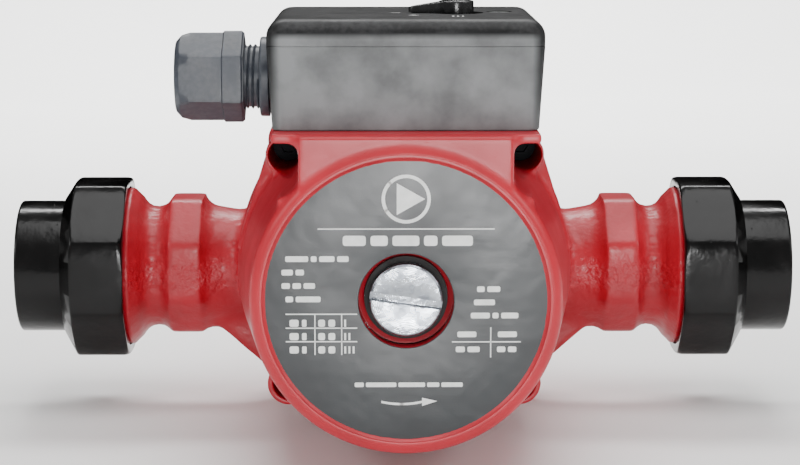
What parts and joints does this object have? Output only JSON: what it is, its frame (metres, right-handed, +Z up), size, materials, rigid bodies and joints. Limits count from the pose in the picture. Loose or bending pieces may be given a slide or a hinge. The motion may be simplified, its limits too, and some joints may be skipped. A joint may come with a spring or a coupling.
{
  "type": "circulator pump",
  "caption": "In-line wet-rotor circulator pump: red body and motor with round nameplate, vent plug, black terminal box with speed selector and cable gland, union nuts and tailpieces.",
  "frame": {"origin": "centre of the open end of the inlet tailpiece, on the pipe axis", "axes": "+X along the pipe in the flow direction from inlet to outlet, -Y towards the nameplate, +Z up towards the terminal box"},
  "size_m": [0.2304, 0.13, 0.1245],
  "materials": {
    "red_enamel_iron": "gloss enamel over a cast surface",
    "red_enamel_aluminium": "gloss enamel over a die casting",
    "black_malleable_iron": "gloss black paint",
    "black_plastic": "satin moulded glass-filled plastic",
    "grey_plastic": "satin moulded polyamide",
    "nickel_brass": "turned and nickel plated",
    "stainless": "drawn",
    "zinc_steel": "zinc plated",
    "black_oxide_steel": "black oxide",
    "lamination_steel": "stacked sheet",
    "copper_winding": "enamelled wire",
    "brass": "turned",
    "rubber": "matt",
    "fibre_gasket": "pressed fibre",
    "carbon": "sintered carbon",
    "ceramic": "ground",
    "impeller_plastic": "glass-filled plastic",
    "label_foil": "printed satin foil",
    "label_ink": "white print",
    "white_plastic": "moulded",
    "orange_plastic": "moulded",
    "capacitor_case": "moulded",
    "lead_insulation": "extruded sleeve"
  },
  "bodies": {
    "pump": {"pump_body": "red_enamel_iron", "wear_ring": "stainless", "inlet_gasket": "fibre_gasket", "inlet_tailpiece": "black_malleable_iron", "outlet_gasket": "fibre_gasket", "outlet_tailpiece": "black_malleable_iron", "bearing_plate": "stainless", "front_bearing": "carbon", "rear_bearing": "carbon", "rotor_can": "stainless", "can_seal": "rubber", "stator_housing": "red_enamel_aluminium", "stator_core": "lamination_steel", "windings": "copper_winding", "stator_leads": "lead_insulation", "housing_screws": "black_oxide_steel", "nameplate": "label_foil", "nameplate_print": "label_ink", "terminal_base": "black_plastic", "base_screws": "zinc_steel", "capacitor": "capacitor_case", "terminal_block": "white_plastic", "terminal_screws": "brass", "earth_screw": "brass", "speed_switch": "white_plastic", "gland_body": "grey_plastic", "gland_seal": "rubber"},
    "inlet_slip_ring_carrier": {"inlet_slip_ring": "stainless"},
    "inlet_nut": {"inlet_union_nut": "black_malleable_iron"},
    "outlet_slip_ring_carrier": {"outlet_slip_ring": "stainless"},
    "outlet_nut": {"outlet_union_nut": "black_malleable_iron"},
    "rotor": {"shaft": "ceramic", "impeller": "impeller_plastic", "impeller_shroud": "impeller_plastic", "thrust_ring": "carbon", "rotor_core": "lamination_steel", "rotor_sleeve": "stainless"},
    "vent_seal_carrier": {"vent_seal": "rubber"},
    "vent_screw": {"vent_plug": "nickel_brass"},
    "lid": {"terminal_lid": "black_plastic", "lid_screw": "zinc_steel", "lid_seal": "rubber"},
    "selector": {"speed_knob": "black_plastic", "switch_rotor": "orange_plastic"},
    "gland_clamp_carrier": {"gland_clamp": "grey_plastic"},
    "gland_cap": {"gland_nut": "grey_plastic"}
  },
  "joints": [
    {"name": "rotor_spin", "type": "hinge", "parent": "pump", "child": "rotor", "pos_m": [0.1152, -0.05, 0.007], "axis": [0, -1, 0], "continuous": true},
    {"name": "inlet_nut_travel", "type": "slide", "parent": "pump", "child": "inlet_slip_ring_carrier", "axis": [-1, 0, 0], "range_m": [0, 0.00693]},
    {"name": "inlet_nut_turn", "type": "hinge", "parent": "inlet_slip_ring_carrier", "child": "inlet_nut", "pos_m": [0.0252, 0, 0], "axis": [-1, 0, 0], "range_deg": [0, 1080]},
    {"name": "outlet_nut_travel", "type": "slide", "parent": "pump", "child": "outlet_slip_ring_carrier", "axis": [1, 0, 0], "range_m": [0, 0.00693]},
    {"name": "outlet_nut_turn", "type": "hinge", "parent": "outlet_slip_ring_carrier", "child": "outlet_nut", "pos_m": [0.2052, 0, 0], "axis": [1, 0, 0], "range_deg": [0, 1080]},
    {"name": "vent_travel", "type": "slide", "parent": "pump", "child": "vent_seal_carrier", "axis": [0, -1, 0], "range_m": [0, 0.006]},
    {"name": "vent_turn", "type": "hinge", "parent": "vent_seal_carrier", "child": "vent_screw", "pos_m": [0.1152, -0.09, 0.007], "axis": [0, -1, 0], "range_deg": [0, 1440]},
    {"name": "gland_travel", "type": "slide", "parent": "pump", "child": "gland_clamp_carrier", "axis": [-1, 0, 0], "range_m": [0, 0.00353]},
    {"name": "gland_turn", "type": "hinge", "parent": "gland_clamp_carrier", "child": "gland_cap", "pos_m": [0.0652, -0.06, 0.0625], "axis": [-1, 0, 0], "range_deg": [0, 900]},
    {"name": "lid_lift", "type": "slide", "parent": "pump", "child": "lid", "axis": [0, 0, 1], "range_m": [0, 0.03]},
    {"name": "selector_turn", "type": "hinge", "parent": "lid", "child": "selector", "pos_m": [0.1292, -0.06, 0.078], "axis": [0, 0, 1], "range_deg": [0, 90]}
  ],
  "couplings": [
    {"joint": "inlet_nut_travel", "follows": "inlet_nut_turn", "m_per_rad": 0.00036749},
    {"joint": "outlet_nut_travel", "follows": "outlet_nut_turn", "m_per_rad": 0.00036749},
    {"joint": "vent_travel", "follows": "vent_turn", "m_per_rad": 0.00023873},
    {"joint": "gland_travel", "follows": "gland_turn", "m_per_rad": 0.00022441}
  ]
}
